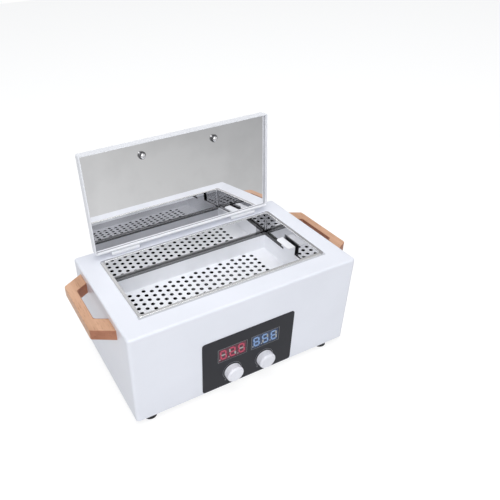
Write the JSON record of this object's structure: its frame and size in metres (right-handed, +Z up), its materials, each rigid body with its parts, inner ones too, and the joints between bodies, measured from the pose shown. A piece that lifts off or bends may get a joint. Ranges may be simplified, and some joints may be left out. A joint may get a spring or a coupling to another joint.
{
  "type": "dry heat sterilizer",
  "caption": "White bench sterilizer with a sunk steel chamber, perforated lift-out tray, hinged mirror-lined lid, wooden handles and a front panel with digital displays and fluted knobs.",
  "frame": {"origin": "middle of the bounding box's bottom face, on the standing surface under the feet, lid open", "axes": "+X to the right as seen from the front, +Y to the rear, +Z up; the control panel faces -Y"},
  "size_m": [0.351, 0.2144, 0.2662],
  "materials": {
    "white_paint": "gloss",
    "polished_steel": "polished",
    "satin_steel": "satin",
    "mirror_steel": "mirror polished",
    "plain_steel": "satin",
    "chrome": "polished",
    "hinge_white": "gloss",
    "beech": "satin, lightly oiled",
    "rubber": "matte",
    "panel": "satin",
    "display_red": "gloss, dark window",
    "display_blue": "gloss, dark window",
    "red_lit": "lit segments",
    "blue_lit": "lit segments",
    "unlit": "unlit segments",
    "knob_white": "satin",
    "aluminium": "satin",
    "blanket": "fibrous",
    "board_green": "satin",
    "black_plastic": "satin",
    "relay_case": "satin",
    "transformer": "plain",
    "brass": "plated",
    "rocker_black": "gloss",
    "loom_black": "matte",
    "lead_white": "matte",
    "ribbon_grey": "matte"
  },
  "bodies": {
    "case": {"case_shell": "white_paint", "bottom_plate": "plain_steel", "bottom_screws": "plain_steel", "rubber_feet": "rubber", "foot_screws": "plain_steel", "chamber_basin": "polished_steel", "tray_rests": "satin_steel", "heater_plate": "aluminium", "heater_clamp": "plain_steel", "thermal_cutout": "black_plastic", "temperature_probe": "plain_steel", "insulation_blanket": "blanket", "left_hinge_base": "hinge_white", "right_hinge_base": "hinge_white", "hinge_pins": "chrome", "hinge_base_screws": "plain_steel", "left_handle": "beech", "right_handle": "beech", "handle_screws": "plain_steel", "control_panel": "panel", "left_display": "display_red", "left_digits_lit": "red_lit", "left_digits_unlit": "unlit", "right_display": "display_blue", "right_digits_lit": "blue_lit", "right_digits_unlit": "unlit", "left_control": "black_plastic", "right_control": "black_plastic", "control_nuts": "plain_steel", "control_board": "board_green", "control_pillars": "brass", "board_screws": "plain_steel", "power_board": "board_green", "power_pillars": "brass", "power_transformer": "transformer", "power_relay": "relay_case", "mains_inlet": "black_plastic", "inlet_blades": "brass", "inlet_screws": "plain_steel", "switch_housing": "black_plastic", "mains_loom": "loom_black", "heater_leads": "lead_white", "control_ribbon": "ribbon_grey"},
    "lid": {"lid_shell": "white_paint", "lid_liner": "mirror_steel", "lid_insulation": "blanket", "lid_dome_nuts": "chrome", "lid_handle_bolts": "plain_steel", "lid_handle": "beech", "left_hinge_leaf": "hinge_white", "right_hinge_leaf": "hinge_white", "hinge_leaf_screws": "plain_steel"},
    "tray": {"tray": "satin_steel"},
    "left_knob": {"left_knob": "knob_white", "left_shaft": "plain_steel"},
    "right_knob": {"right_knob": "knob_white", "right_shaft": "plain_steel"},
    "rocker": {"power_rocker": "rocker_black"}
  },
  "joints": [
    {"name": "lid_hinge", "type": "hinge", "parent": "case", "child": "lid", "pos_m": [0, 0.05992, 0.1356], "axis": [-1, 0, 0], "range_deg": [-95.3, 0]},
    {"name": "tray_lift", "type": "slide", "parent": "case", "child": "tray", "axis": [0, 0, 1], "range_m": [0, 0.09]},
    {"name": "left_knob_turn", "type": "hinge", "parent": "case", "child": "left_knob", "pos_m": [-0.023, -0.09648, 0.0293], "axis": [0, 1, 0], "range_deg": [-30, 240]},
    {"name": "right_knob_turn", "type": "hinge", "parent": "case", "child": "right_knob", "pos_m": [0.023, -0.09648, 0.0293], "axis": [0, 1, 0], "range_deg": [-30, 240]},
    {"name": "power_switch", "type": "hinge", "parent": "case", "child": "rocker", "pos_m": [0.044, 0.07752, 0.035], "axis": [-1, 0, 0], "range_deg": [0, 16]}
  ]
}
